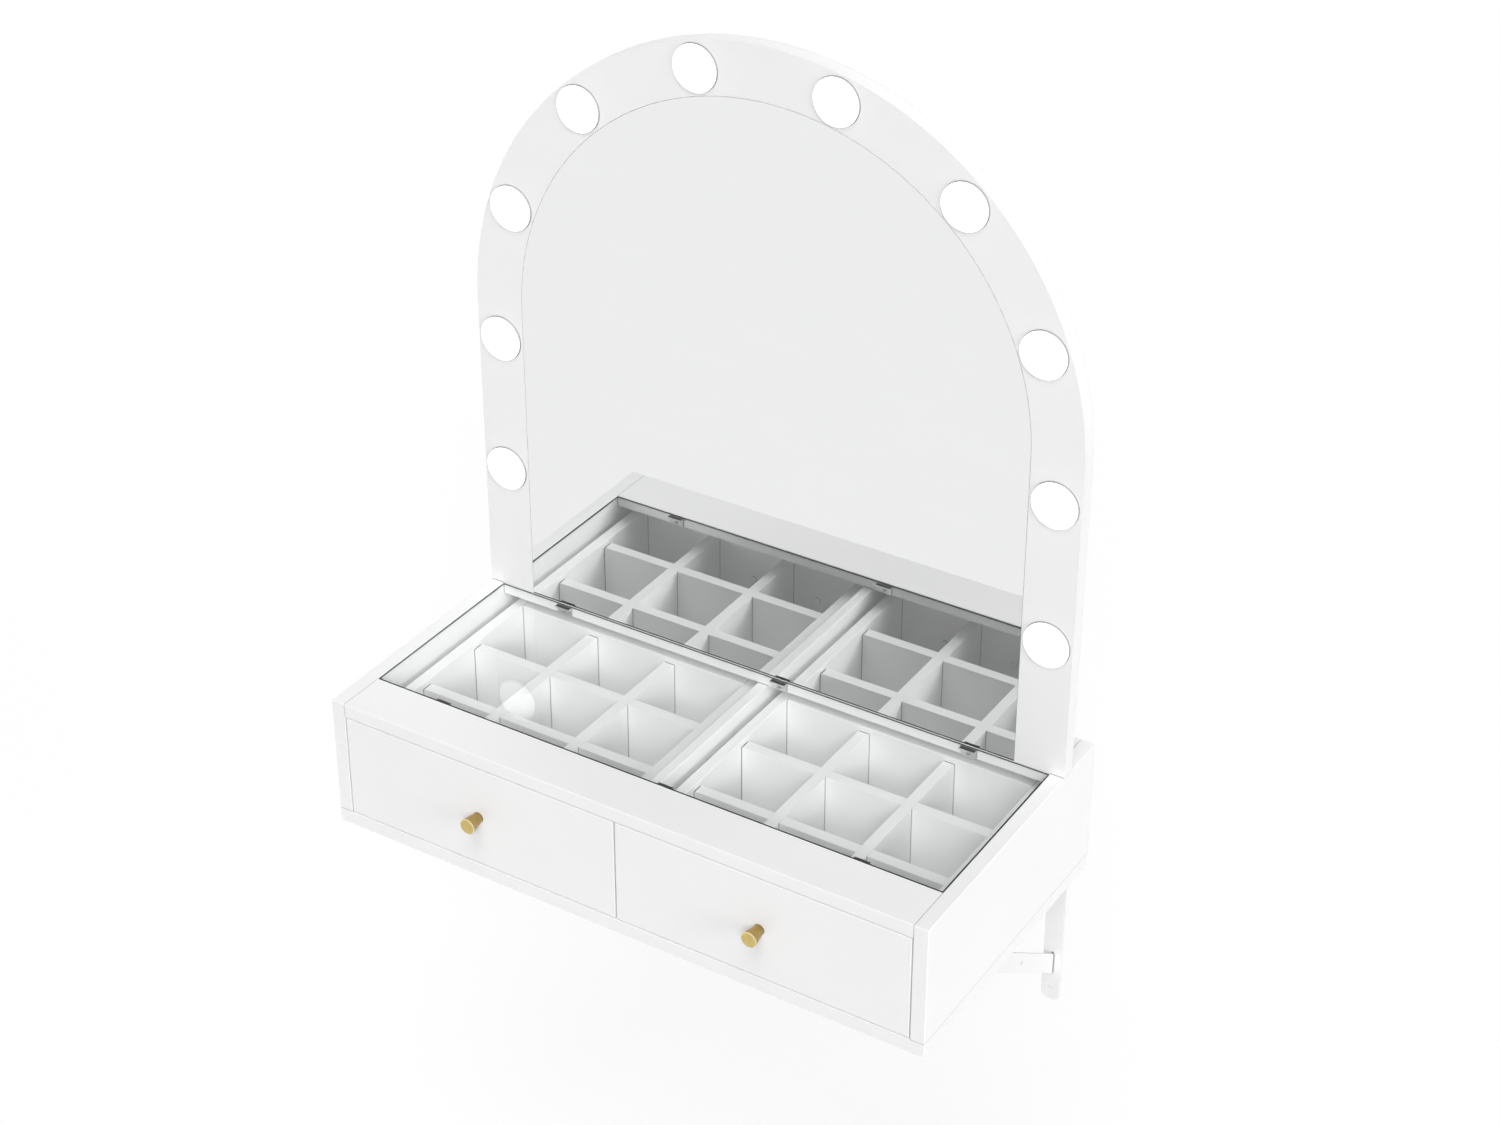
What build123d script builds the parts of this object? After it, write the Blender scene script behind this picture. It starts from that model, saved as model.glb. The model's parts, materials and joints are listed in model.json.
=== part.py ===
from build123d import *
from math import atan2, cos, degrees, hypot, pi, radians, sin, tan
import os

os.makedirs("parts", exist_ok=True)

# Wall-mounted vanity. Origin: centre of the rectangle of the four wall-screw holes, on the
# wall plane. +X right, +Y into the wall, +Z up. Millimetres.

# Wall screw holes, two in the leg of each bracket
WALL_HOLES_Z = 170.0
WALL_HOLE_R = 3.0

# Wall brackets
BRACKET_INSET = 34.5
BAR_WIDTH = 24.0
BAR_THICK = 3.0
LEG_LENGTH = 216.0
LEG_END_TO_HOLE = 18.5
LEG_CORNER_R = 9.0
ARM_LENGTH = 283.0
BRACE_FOOT_BELOW_CASE = 161.0
BRACE_RISE_DEG = 35.5
BRACE_HOLE_ALONG = 110.0
ARM_SCREW_Y = (-265.0, -150.0, -45.0)
ARM_SCREW_OFFSET_X = 6.0

# Case
CASE_WIDTH = 800.0
CASE_DEPTH = 396.0
BOARD = 18.0
SIDE_HEIGHT = 156.0
FRONT_RAIL_DEPTH = 64.0
REAR_RAIL_DEPTH = 80.0
PARTITION_THICK = 13.0
BACK_THICK = 12.0
EDGE_BREAK = 0.5

# Glass top
GLASS_THICK = 5.0
GLASS_GAP = 1.0
CLIP_X = (-288.0, 24.0, 279.0)
CLIP_WIDTH = 20.0
CLIP_REACH = 7.0
CLIP_DROP = 12.0
CLIP_THICK = 2.0
CLIP_SCREW_DROP = 7.5

# Arched light mirror
MIRROR_STAND_OFF = 60.5
ARCH_R = CASE_WIDTH / 2
ARCH_CENTRE_UP = 396.0
MIRROR_BOARD_THICK = 15.0
BORDER_THICK = 4.0
BORDER_WIDTH = 64.0
MIRROR_GLASS_GAP = 0.3
LENS_R = 28.2
LENS_PITCH = 178.7
LENS_PROUD = 2.5
LENS_GAP = 0.3
LENSES_PER_SIDE = 5
POCKET_R = 24.0
POCKET_DEPTH = 8.0
LED_BOARD = 30.0
LED_BOARD_THICK = 1.6
LED_CHIP = 8.0
LED_CHIP_THICK = 1.0
WIRE_GROOVE = 6.0
CABLE_HOLE_R = 4.0

# LED driver on the back of the mirror
DRIVER_LENGTH = 110.0
DRIVER_HEIGHT = 36.0
DRIVER_DEPTH = 22.0
DRIVER_CENTRE_X = 270.0
DRIVER_UP = 170.0
DRIVER_CORNER_R = 3.0
DRIVER_EAR = 12.0
DRIVER_EAR_THICK = 2.5
INLET_R = 4.0
INLET_DEPTH = 9.0
INLET_PIN_R = 1.0
INLET_PIN_LENGTH = 7.0

# Angle brackets behind the mirror
ANGLE_X = 250.0
ANGLE_WIDTH = 24.0
ANGLE_THICK = 2.0
ANGLE_UP = 60.0
ANGLE_BACK = 40.0
ANGLE_SCREWS_UP = (22.0, 48.0)
ANGLE_SCREWS_BACK = (16.0, 32.0)

# Drawers
FRONT_GAP = 1.5
CENTRE_GAP = 2.0
FRONT_THICK = 15.0
BOX_BOARD = 14.0
BOX_TOP_DOWN = 33.0
BOX_HEIGHT = 113.0
BOX_LENGTH = 321.0
SLIDE_SPACE = 10.0
FLOOR_THICK = 5.0
FLOOR_UP = 8.0
GROOVE_DEPTH = 5.0
GROOVE_GAP = 0.2
DIVIDER_BELOW_BOX = 6.5
DIVIDER_END_GAP = 0.6
DIVIDER_END_R = 3.0
LAP_GAP = 0.1
TOP_EDGE_R = 1.0
PARTITION_BEHIND_FRONT = 2.0

# Knobs
KNOB_X = 191.0
KNOB_DOWN = 88.0
KNOB_LENGTH = 22.0
KNOB_BASE_R = 6.3
KNOB_FACE_R = 10.0
KNOB_CHAMFER = 1.0

# Ball-bearing slides
SLIDE_LENGTH = 300.0
SLIDE_START_BEHIND_FRONT = 5.0
SLIDE_UNDER_BOX_TOP = 55.0
SLIDE_TRAVEL = 220.0
CHANNEL_HEIGHT = 27.0
CHANNEL_DEPTH = 9.6
CHANNEL_LIP = 1.1
STEEL = 1.2
RUNNER_HEIGHT = 15.0
RUNNER_DEPTH = 6.6
CAGE_THICK = 0.8
CAGE_WEB_AT = 2.1
CAGE_DEPTH = 8.0
CAGE_LENGTH = 76.0
BALL_R = 2.1
BALL_AT = 5.3
BALL_SPREAD = 26.0
RUNNING_GAP = 0.3
SLIDE_SCREW_INSET = 45.0

# Fasteners
SHANK_SIDES = 4
HEAD_SIDES = 8
FIT_GAP = 0.1
CONFIRMAT_R = 2.5
CONFIRMAT_HEAD_R = 5.0
CONFIRMAT_HEAD_DEPTH = 2.5
CONFIRMAT_LENGTH = 45.0
PANEL_SCREW_INSET = 46.0
PARTITION_SCREW_INSET = 90.0
BACK_SCREW_X = 190.0
DOWEL_R = 4.0
FRONT_DOWEL_INSET = 14.0
REAR_DOWEL_INSET = 18.0
DOWEL_IN_RAIL = 18.0
DOWEL_IN_SIDE = 10.0
SCREW_R = 1.75
SCREW_HEAD_R = 3.5
SCREW_HEAD_HEIGHT = 1.8
SCREW_LENGTH = 14.0
CLIP_SCREW_LENGTH = 12.0
CLIP_SCREW_HEAD_R = 2.5
SLIDE_SCREW_LENGTH = 6.0
SLIDE_SCREW_HEAD_R = 3.0
SLIDE_SCREW_HEAD_HEIGHT = 0.5
BOX_SCREW_R = 1.5
BOX_SCREW_HEAD_R = 3.0
BOX_SCREW_LENGTH = 35.0
BOX_SCREW_MARGIN = 22.0
FRONT_SCREW_LENGTH = 24.0
FRONT_SCREW_X = 100.0
KNOB_SCREW_R = 2.0
KNOB_SCREW_HEAD_R = 4.0
KNOB_SCREW_IN_KNOB = 9.0

# Derived levels and planes
HALF_CASE = CASE_WIDTH / 2
BRACKET_X = HALF_CASE - BRACKET_INSET
CASE_BOTTOM = LEG_LENGTH - LEG_END_TO_HOLE - WALL_HOLES_Z / 2
PANEL_TOP = CASE_BOTTOM + BOARD
CASE_TOP = PANEL_TOP + SIDE_HEIGHT
RAIL_UNDER = CASE_TOP - BOARD
FRONT_Y = -CASE_DEPTH
BAY_OUTER = HALF_CASE - BOARD
BAY_INNER = PARTITION_THICK / 2
FRONT_RAIL_REAR = FRONT_Y + FRONT_RAIL_DEPTH
REAR_RAIL_FRONT = -REAR_RAIL_DEPTH
GLASS_UNDER = CASE_TOP - GLASS_THICK

MIRROR_BACK_Y = -MIRROR_STAND_OFF
BORDER_BACK_Y = MIRROR_BACK_Y - MIRROR_BOARD_THICK
BORDER_FRONT_Y = BORDER_BACK_Y - BORDER_THICK
ARCH_CENTRE = CASE_TOP + ARCH_CENTRE_UP
OPEN_R = ARCH_R - BORDER_WIDTH
LENS_LINE_R = ARCH_R - BORDER_WIDTH / 2
POCKET_FLOOR_Y = BORDER_BACK_Y + POCKET_DEPTH

BOX_TOP = CASE_TOP - BOX_TOP_DOWN
BOX_BOTTOM = BOX_TOP - BOX_HEIGHT
BOX_INNER = BAY_INNER + SLIDE_SPACE
BOX_OUTER = BAY_OUTER - SLIDE_SPACE
ROOM_INNER = BOX_INNER + BOX_BOARD
ROOM_OUTER = BOX_OUTER - BOX_BOARD
BOX_FRONT_Y = FRONT_Y + FRONT_THICK
ROOM_FRONT_Y = BOX_FRONT_Y + BOX_BOARD
BOX_REAR_Y = BOX_FRONT_Y + BOX_LENGTH
ROOM_REAR_Y = BOX_REAR_Y - BOX_BOARD
FLOOR_Z = BOX_BOTTOM + FLOOR_UP
FLOOR_TOP = FLOOR_Z + FLOOR_THICK
DIVIDER_TOP = BOX_TOP - DIVIDER_BELOW_BOX
LAP_Z = (FLOOR_TOP + DIVIDER_TOP) / 2
COLUMN = (ROOM_OUTER - ROOM_INNER - 2 * BOX_BOARD) / 3
ROW = (ROOM_REAR_Y - ROOM_FRONT_Y - 2 * BOX_BOARD) / 3
DIVIDER_X = [ROOM_INNER + COLUMN * n + BOX_BOARD * (n - 0.5) for n in (1, 2)]
DIVIDER_Y = [ROOM_FRONT_Y + ROW * n + BOX_BOARD * (n - 0.5) for n in (1, 2)]
FRONT_Z = PANEL_TOP + FRONT_GAP
FRONT_TOP = RAIL_UNDER - FRONT_GAP
KNOB_Z = CASE_TOP - KNOB_DOWN
BOX_CENTRE_X = (BOX_INNER + BOX_OUTER) / 2
BOX_SCREW_Z = (BOX_BOTTOM + BOX_SCREW_MARGIN, BOX_TOP - BOX_SCREW_MARGIN)
FRONT_SCREW_Z = KNOB_Z

SLIDE_FRONT_Y = BOX_FRONT_Y + SLIDE_START_BEHIND_FRONT
SLIDE_REAR_Y = SLIDE_FRONT_Y + SLIDE_LENGTH
SLIDE_Z = BOX_TOP - SLIDE_UNDER_BOX_TOP
CAGE_FRONT_Y = SLIDE_FRONT_Y + (SLIDE_LENGTH - CAGE_LENGTH) / 2
BALL_UP = (RUNNER_HEIGHT / 2 + CHANNEL_HEIGHT / 2 - STEEL) / 2
BALL_Y = [CAGE_FRONT_Y + CAGE_LENGTH / 2 + n * BALL_SPREAD for n in (-1, 1)]
SLIDE_SCREW_Y = (SLIDE_FRONT_Y + SLIDE_SCREW_INSET, SLIDE_REAR_Y - SLIDE_SCREW_INSET)

SIDES = {"left": -1, "right": 1}


def block(x, y, z, mode=Mode.ADD):
    """Box between two limits on each axis, given in either order."""
    with BuildSketch(Plane.XY.offset(min(z))) as base:
        with Locations((sum(x) / 2, sum(y) / 2)):
            Rectangle(abs(x[1] - x[0]), abs(y[1] - y[0]))
    extrude(base.sketch, amount=abs(z[1] - z[0]), mode=mode)


def rod(start, direction, radius, length, mode=Mode.ADD):
    """Round bar or, subtracted, a round hole."""
    with BuildSketch(Plane(origin=start, z_dir=direction)) as base:
        Circle(radius)
    extrude(base.sketch, amount=length, mode=mode)


def flat_sided(sides, start, direction, radius, length, mode=Mode.ADD, taper=0):
    """Bar or, subtracted, a hole, with flats at the radius in place of a round face."""
    with BuildSketch(Plane(origin=start, z_dir=direction)) as base:
        RegularPolygon(radius, sides, major_radius=False)
    extrude(base.sketch, amount=length, taper=taper, mode=mode)


def shank(start, direction, radius, length, mode=Mode.ADD):
    """Hidden shank or dowel or, subtracted, its hole."""
    flat_sided(SHANK_SIDES, start, direction, radius, length, mode)


def sink(start, direction, radius, depth, mode=Mode.ADD):
    """Countersunk head or, subtracted, its seat: a 45 degree cone."""
    flat_sided(HEAD_SIDES, start, direction, radius, depth, mode, taper=45)


def headed_screw(seat, direction, radius, length, head_radius, head_height):
    """Screw whose head stands on the seat point, opposite to the driving direction."""
    shank(seat, direction, radius, length)
    back = tuple(-c for c in direction)
    flat_sided(HEAD_SIDES, seat, back, head_radius, head_height)


def wall_plane(y):
    """Upright plane at depth y, facing the room; its own x and y are +X and +Z."""
    return Plane.XZ.offset(-y)


def save(part, label):
    part.label = label
    export_step(part, f"parts/{label}.step")


# Case screws, driven up through the bottom panel: (x, y)
SIDE_SCREW_Y = (FRONT_Y + PANEL_SCREW_INSET, FRONT_Y / 2, -PANEL_SCREW_INSET)
PANEL_SCREWS = [(s * (HALF_CASE - BOARD / 2), y) for s in (-1, 1) for y in SIDE_SCREW_Y]
PANEL_SCREWS += [(0.0, FRONT_Y + PARTITION_SCREW_INSET), (0.0, -PARTITION_SCREW_INSET)]
PANEL_SCREWS += [(s * BACK_SCREW_X, -BACK_THICK / 2) for s in (-1, 1)]

# Dowels across the rail ends: y of each
DOWEL_Y = (
    FRONT_Y + FRONT_DOWEL_INSET,
    FRONT_RAIL_REAR - FRONT_DOWEL_INSET,
    REAR_RAIL_FRONT + REAR_DOWEL_INSET,
    -REAR_DOWEL_INSET,
)
DOWEL_Z = CASE_TOP - BOARD / 2

# Arm screws, driven up into the bottom panel: (x, y)
ARM_SCREWS = [(s * (BRACKET_X - ARM_SCREW_OFFSET_X), y) for s in (-1, 1) for y in ARM_SCREW_Y]

# Screws of the angle brackets: into the mirror board (x, z) and into the rear rail (x, y)
ANGLE_UP_POINTS = [(s * ANGLE_X, CASE_TOP + up) for s in (-1, 1) for up in ANGLE_SCREWS_UP]
ANGLE_BACK_POINTS = [
    (s * ANGLE_X, MIRROR_BACK_Y + back) for s in (-1, 1) for back in ANGLE_SCREWS_BACK
]

# Ear screws of the LED driver, into the mirror board: (x, z)
DRIVER_Z = CASE_TOP + DRIVER_UP
DRIVER_POINTS = [
    (DRIVER_CENTRE_X + s * (DRIVER_LENGTH + DRIVER_EAR) / 2, DRIVER_Z) for s in (-1, 1)
]


def lens_point(run):
    """Point (x, z) on the border's middle line, at a signed distance from the crown."""
    quarter = LENS_LINE_R * pi / 2
    side = 1 if run > 0 else -1
    if abs(run) < quarter:
        angle = abs(run) / LENS_LINE_R
        return side * LENS_LINE_R * sin(angle), ARCH_CENTRE + LENS_LINE_R * cos(angle)
    return side * LENS_LINE_R, ARCH_CENTRE - (abs(run) - quarter)


LENS_POINTS = [
    lens_point((n + 0.5) * LENS_PITCH) for n in range(-LENSES_PER_SIDE, LENSES_PER_SIDE)
]


# Bottom panel
with BuildPart() as bottom_panel:
    block((-HALF_CASE, HALF_CASE), (FRONT_Y, 0), (CASE_BOTTOM, PANEL_TOP))
    chamfer(bottom_panel.edges(), EDGE_BREAK)
    for px, py in PANEL_SCREWS:
        shank((px, py, CASE_BOTTOM), (0, 0, 1), CONFIRMAT_R + FIT_GAP, BOARD, Mode.SUBTRACT)
        sink((px, py, CASE_BOTTOM), (0, 0, 1), CONFIRMAT_HEAD_R, CONFIRMAT_HEAD_DEPTH, Mode.SUBTRACT)
    for px, py in ARM_SCREWS:
        shank((px, py, CASE_BOTTOM), (0, 0, 1), SCREW_R + FIT_GAP, SCREW_LENGTH, Mode.SUBTRACT)
save(bottom_panel.part, "bottom_panel")


def side_panel(side):
    """Side panel, standing on the bottom panel."""
    inner = side * BAY_OUTER
    with BuildPart() as panel:
        block((inner, side * HALF_CASE), (FRONT_Y, 0), (PANEL_TOP, CASE_TOP))
        chamfer(panel.edges(), EDGE_BREAK)
        for px, py in PANEL_SCREWS:
            if px * side > BAY_OUTER:
                shank(
                    (px, py, PANEL_TOP),
                    (0, 0, 1),
                    CONFIRMAT_R + FIT_GAP,
                    CONFIRMAT_LENGTH - BOARD,
                    Mode.SUBTRACT,
                )
        for py in DOWEL_Y:
            shank((inner, py, DOWEL_Z), (side, 0, 0), DOWEL_R + FIT_GAP, DOWEL_IN_SIDE, Mode.SUBTRACT)
        for py in SLIDE_SCREW_Y:
            shank(
                (inner, py, SLIDE_Z),
                (side, 0, 0),
                SCREW_R + FIT_GAP,
                SLIDE_SCREW_LENGTH,
                Mode.SUBTRACT,
            )
    return panel.part


for name, s in SIDES.items():
    save(side_panel(s), f"side_panel_{name}")


def rail(y, clip_y, clip_dir, dowels):
    """Flush deck rail between the side panels, with pilot holes for the glass clips."""
    with BuildPart() as deck:
        block((-BAY_OUTER, BAY_OUTER), y, (RAIL_UNDER, CASE_TOP))
        chamfer(deck.edges(), EDGE_BREAK)
        for cx in CLIP_X:
            shank(
                (cx, clip_y, GLASS_UNDER - CLIP_SCREW_DROP),
                (0, clip_dir, 0),
                SCREW_R + FIT_GAP,
                CLIP_SCREW_LENGTH,
                Mode.SUBTRACT,
            )
        for s in (-1, 1):
            for py in dowels:
                shank(
                    (s * BAY_OUTER, py, DOWEL_Z),
                    (-s, 0, 0),
                    DOWEL_R + FIT_GAP,
                    DOWEL_IN_RAIL,
                    Mode.SUBTRACT,
                )
        if clip_dir > 0:
            for px, py in ANGLE_BACK_POINTS:
                shank((px, py, CASE_TOP), (0, 0, -1), SCREW_R + FIT_GAP, SCREW_LENGTH, Mode.SUBTRACT)
    return deck.part


save(rail((FRONT_Y, FRONT_RAIL_REAR), FRONT_RAIL_REAR, -1, DOWEL_Y[:2]), "front_rail")
save(rail((REAR_RAIL_FRONT, 0), REAR_RAIL_FRONT, 1, DOWEL_Y[2:]), "rear_rail")

# Centre partition between the two drawers
with BuildPart() as centre_partition:
    block(
        (-BAY_INNER, BAY_INNER),
        (BOX_FRONT_Y + PARTITION_BEHIND_FRONT, -BACK_THICK),
        (PANEL_TOP, RAIL_UNDER),
    )
    chamfer(centre_partition.edges(), EDGE_BREAK)
    for px, py in PANEL_SCREWS:
        if px == 0:
            shank(
                (px, py, PANEL_TOP),
                (0, 0, 1),
                CONFIRMAT_R + FIT_GAP,
                CONFIRMAT_LENGTH - BOARD,
                Mode.SUBTRACT,
            )
    for s in (-1, 1):
        for py in SLIDE_SCREW_Y:
            shank(
                (s * BAY_INNER, py, SLIDE_Z),
                (-s, 0, 0),
                SCREW_R + FIT_GAP,
                SLIDE_SCREW_LENGTH - STEEL,
                Mode.SUBTRACT,
            )
save(centre_partition.part, "centre_partition")

# Back panel, set between the side panels
with BuildPart() as back_panel:
    block((-BAY_OUTER, BAY_OUTER), (-BACK_THICK, 0), (PANEL_TOP, RAIL_UNDER))
    chamfer(back_panel.edges(), EDGE_BREAK)
    for px, py in PANEL_SCREWS:
        if py == -BACK_THICK / 2:
            shank(
                (px, py, PANEL_TOP),
                (0, 0, 1),
                CONFIRMAT_R + FIT_GAP,
                CONFIRMAT_LENGTH - BOARD,
                Mode.SUBTRACT,
            )
save(back_panel.part, "back_panel")

# Glass top, resting on the clips
with BuildPart() as glass_top:
    block(
        (-BAY_OUTER + GLASS_GAP, BAY_OUTER - GLASS_GAP),
        (FRONT_RAIL_REAR + GLASS_GAP, REAR_RAIL_FRONT - GLASS_GAP),
        (GLASS_UNDER, CASE_TOP),
    )
    chamfer(glass_top.edges(), EDGE_BREAK)
save(glass_top.part, "glass_top")

# Angle clips that carry the glass: (x, y of the rail face, direction into the opening)
CLIP_SEATS = [(x, FRONT_RAIL_REAR, 1) for x in CLIP_X] + [(x, REAR_RAIL_FRONT, -1) for x in CLIP_X]
with BuildPart() as glass_clips:
    for cx, cy, out in CLIP_SEATS:
        span = (cx - CLIP_WIDTH / 2, cx + CLIP_WIDTH / 2)
        block(span, (cy, cy + out * CLIP_REACH), (GLASS_UNDER - CLIP_THICK, GLASS_UNDER))
        block(span, (cy, cy + out * CLIP_THICK), (GLASS_UNDER - CLIP_DROP, GLASS_UNDER))
        shank(
            (cx, cy, GLASS_UNDER - CLIP_SCREW_DROP),
            (0, out, 0),
            SCREW_R + FIT_GAP,
            CLIP_THICK,
            Mode.SUBTRACT,
        )
save(glass_clips.part, "glass_clips")

# Case screws
with BuildPart() as case_screws:
    for px, py in PANEL_SCREWS:
        shank((px, py, CASE_BOTTOM), (0, 0, 1), CONFIRMAT_R, CONFIRMAT_LENGTH)
        sink((px, py, CASE_BOTTOM), (0, 0, 1), CONFIRMAT_HEAD_R - FIT_GAP, CONFIRMAT_HEAD_DEPTH)
save(case_screws.part, "case_screws")

# Dowels
with BuildPart() as case_dowels:
    for s in (-1, 1):
        for py in DOWEL_Y:
            shank(
                (s * (BAY_OUTER + DOWEL_IN_SIDE), py, DOWEL_Z),
                (-s, 0, 0),
                DOWEL_R,
                DOWEL_IN_SIDE + DOWEL_IN_RAIL,
            )
save(case_dowels.part, "case_dowels")

# Small pan-head screws: glass clips, angle brackets, wall bracket arms, LED driver
with BuildPart() as pan_head_screws:
    for cx, cy, out in CLIP_SEATS:
        headed_screw(
            (cx, cy + out * CLIP_THICK, GLASS_UNDER - CLIP_SCREW_DROP),
            (0, -out, 0),
            SCREW_R,
            CLIP_SCREW_LENGTH,
            CLIP_SCREW_HEAD_R,
            SCREW_HEAD_HEIGHT,
        )
    for px, pz in ANGLE_UP_POINTS:
        headed_screw(
            (px, MIRROR_BACK_Y + ANGLE_THICK, pz),
            (0, -1, 0),
            SCREW_R,
            SCREW_LENGTH,
            SCREW_HEAD_R,
            SCREW_HEAD_HEIGHT,
        )
    for px, py in ANGLE_BACK_POINTS:
        headed_screw(
            (px, py, CASE_TOP + ANGLE_THICK),
            (0, 0, -1),
            SCREW_R,
            SCREW_LENGTH,
            SCREW_HEAD_R,
            SCREW_HEAD_HEIGHT,
        )
    for px, py in ARM_SCREWS:
        headed_screw(
            (px, py, CASE_BOTTOM - BAR_THICK),
            (0, 0, 1),
            SCREW_R,
            SCREW_LENGTH,
            SCREW_HEAD_R,
            SCREW_HEAD_HEIGHT,
        )
    for px, pz in DRIVER_POINTS:
        headed_screw(
            (px, MIRROR_BACK_Y + DRIVER_EAR_THICK, pz),
            (0, -1, 0),
            SCREW_R,
            SCREW_LENGTH,
            SCREW_HEAD_R,
            SCREW_HEAD_HEIGHT,
        )
save(pan_head_screws.part, "pan_head_screws")


def arch(radius, mode=Mode.ADD):
    """Face with straight legs on the case top and a half-round head."""
    with BuildLine() as outline:
        foot = Polyline(
            (-radius, ARCH_CENTRE),
            (-radius, CASE_TOP),
            (radius, CASE_TOP),
            (radius, ARCH_CENTRE),
        )
        ThreePointArc(foot @ 1, (0, ARCH_CENTRE + radius), foot @ 0)
    make_face(outline.edges(), mode=mode)


# Back board of the mirror: LED pockets joined by a wire groove, cable hole to the driver
with BuildPart() as mirror_back_board:
    with BuildSketch(wall_plane(MIRROR_BACK_Y)):
        arch(ARCH_R)
    extrude(amount=MIRROR_BOARD_THICK)
    with BuildSketch(wall_plane(BORDER_BACK_Y)):
        for (ax, az), (bx, bz) in zip(LENS_POINTS, LENS_POINTS[1:]):
            run = hypot(bx - ax, bz - az)
            with Locations(((ax + bx) / 2, (az + bz) / 2)):
                Rectangle(run, WIRE_GROOVE, rotation=degrees(atan2(bz - az, bx - ax)))
    extrude(amount=-WIRE_GROOVE, mode=Mode.SUBTRACT)
    for px, pz in LENS_POINTS:
        seat = (px, BORDER_BACK_Y, pz)
        flat_sided(HEAD_SIDES, seat, (0, 1, 0), POCKET_R, POCKET_DEPTH, Mode.SUBTRACT)
    cable_x = LENS_POINTS[-1][0] - POCKET_R / 2
    rod(
        (cable_x, BORDER_BACK_Y, LENS_POINTS[-1][1]),
        (0, 1, 0),
        CABLE_HOLE_R,
        MIRROR_BOARD_THICK,
        Mode.SUBTRACT,
    )
    for px, pz in ANGLE_UP_POINTS + DRIVER_POINTS:
        shank(
            (px, MIRROR_BACK_Y, pz),
            (0, -1, 0),
            SCREW_R + FIT_GAP,
            SCREW_LENGTH - ANGLE_THICK,
            Mode.SUBTRACT,
        )
save(mirror_back_board.part, "mirror_back_board")

# Arched border with the lens holes
with BuildPart() as mirror_border:
    with BuildSketch(wall_plane(BORDER_BACK_Y)):
        arch(ARCH_R)
        arch(OPEN_R, Mode.SUBTRACT)
        with Locations(*LENS_POINTS):
            Circle(LENS_R + LENS_GAP, mode=Mode.SUBTRACT)
    extrude(amount=BORDER_THICK)
save(mirror_border.part, "mirror_border")

# Mirror glass, flush with the border
with BuildPart() as mirror_glass:
    with BuildSketch(wall_plane(BORDER_BACK_Y)):
        arch(OPEN_R - MIRROR_GLASS_GAP)
    extrude(amount=BORDER_THICK)
save(mirror_glass.part, "mirror_glass")


def light_lens(x, z):
    """Round opal lens, seated on the back board and proud of the border."""
    with BuildPart() as lens:
        rod((x, BORDER_BACK_Y, z), (0, -1, 0), LENS_R, BORDER_THICK + LENS_PROUD)
    return lens.part


for number, (lx, lz) in enumerate(LENS_POINTS, start=1):
    save(light_lens(lx, lz), f"light_lens_{number:02d}")

# Square LED boards on the pocket floors; the cable passes through the last one
with BuildPart() as led_boards:
    for lx, lz in LENS_POINTS:
        for side_length, from_floor, thick in (
            (LED_BOARD, 0, LED_BOARD_THICK),
            (LED_CHIP, LED_BOARD_THICK, LED_CHIP_THICK),
        ):
            with BuildSketch(wall_plane(POCKET_FLOOR_Y - from_floor)):
                with Locations((lx, lz)):
                    Rectangle(side_length, side_length)
            extrude(amount=thick)
    rod(
        (cable_x, POCKET_FLOOR_Y, LENS_POINTS[-1][1]),
        (0, -1, 0),
        CABLE_HOLE_R,
        LED_BOARD_THICK,
        Mode.SUBTRACT,
    )
save(led_boards.part, "led_boards")

# LED driver: housing, two ears and the round power inlet in its inner end
driver_end = DRIVER_CENTRE_X - DRIVER_LENGTH / 2
driver_span = (driver_end, driver_end + DRIVER_LENGTH)
inlet_y = MIRROR_BACK_Y + DRIVER_DEPTH / 2
with BuildPart() as led_driver:
    block(
        driver_span,
        (MIRROR_BACK_Y, MIRROR_BACK_Y + DRIVER_DEPTH),
        (DRIVER_Z - DRIVER_HEIGHT / 2, DRIVER_Z + DRIVER_HEIGHT / 2),
    )
    fillet(led_driver.edges().group_by(Axis.Y)[-1], DRIVER_CORNER_R)
    block(
        (driver_span[0] - DRIVER_EAR, driver_span[1] + DRIVER_EAR),
        (MIRROR_BACK_Y, MIRROR_BACK_Y + DRIVER_EAR_THICK),
        (DRIVER_Z - DRIVER_EAR / 2, DRIVER_Z + DRIVER_EAR / 2),
    )
    for px, pz in DRIVER_POINTS:
        shank((px, MIRROR_BACK_Y, pz), (0, 1, 0), SCREW_R + FIT_GAP, DRIVER_EAR_THICK, Mode.SUBTRACT)
    inlet = (driver_end, inlet_y, DRIVER_Z + DRIVER_EAR / 2 + INLET_R)
    rod(inlet, (1, 0, 0), INLET_R, INLET_DEPTH, Mode.SUBTRACT)
    pin_root = (driver_end + INLET_DEPTH, inlet[1], inlet[2])
    shank(pin_root, (-1, 0, 0), INLET_PIN_R, INLET_PIN_LENGTH)
save(led_driver.part, "led_driver")

# Steel angle brackets that hold the mirror on the rear rail
with BuildPart() as mirror_brackets:
    for s in (-1, 1):
        span = (s * ANGLE_X - ANGLE_WIDTH / 2, s * ANGLE_X + ANGLE_WIDTH / 2)
        block(
            span,
            (MIRROR_BACK_Y, MIRROR_BACK_Y + ANGLE_THICK),
            (CASE_TOP, CASE_TOP + ANGLE_UP),
        )
        block(span, (MIRROR_BACK_Y, MIRROR_BACK_Y + ANGLE_BACK), (CASE_TOP, CASE_TOP + ANGLE_THICK))
    for px, pz in ANGLE_UP_POINTS:
        shank((px, MIRROR_BACK_Y, pz), (0, 1, 0), SCREW_R + FIT_GAP, ANGLE_THICK, Mode.SUBTRACT)
    for px, py in ANGLE_BACK_POINTS:
        shank((px, py, CASE_TOP), (0, 0, 1), SCREW_R + FIT_GAP, ANGLE_THICK, Mode.SUBTRACT)
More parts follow.
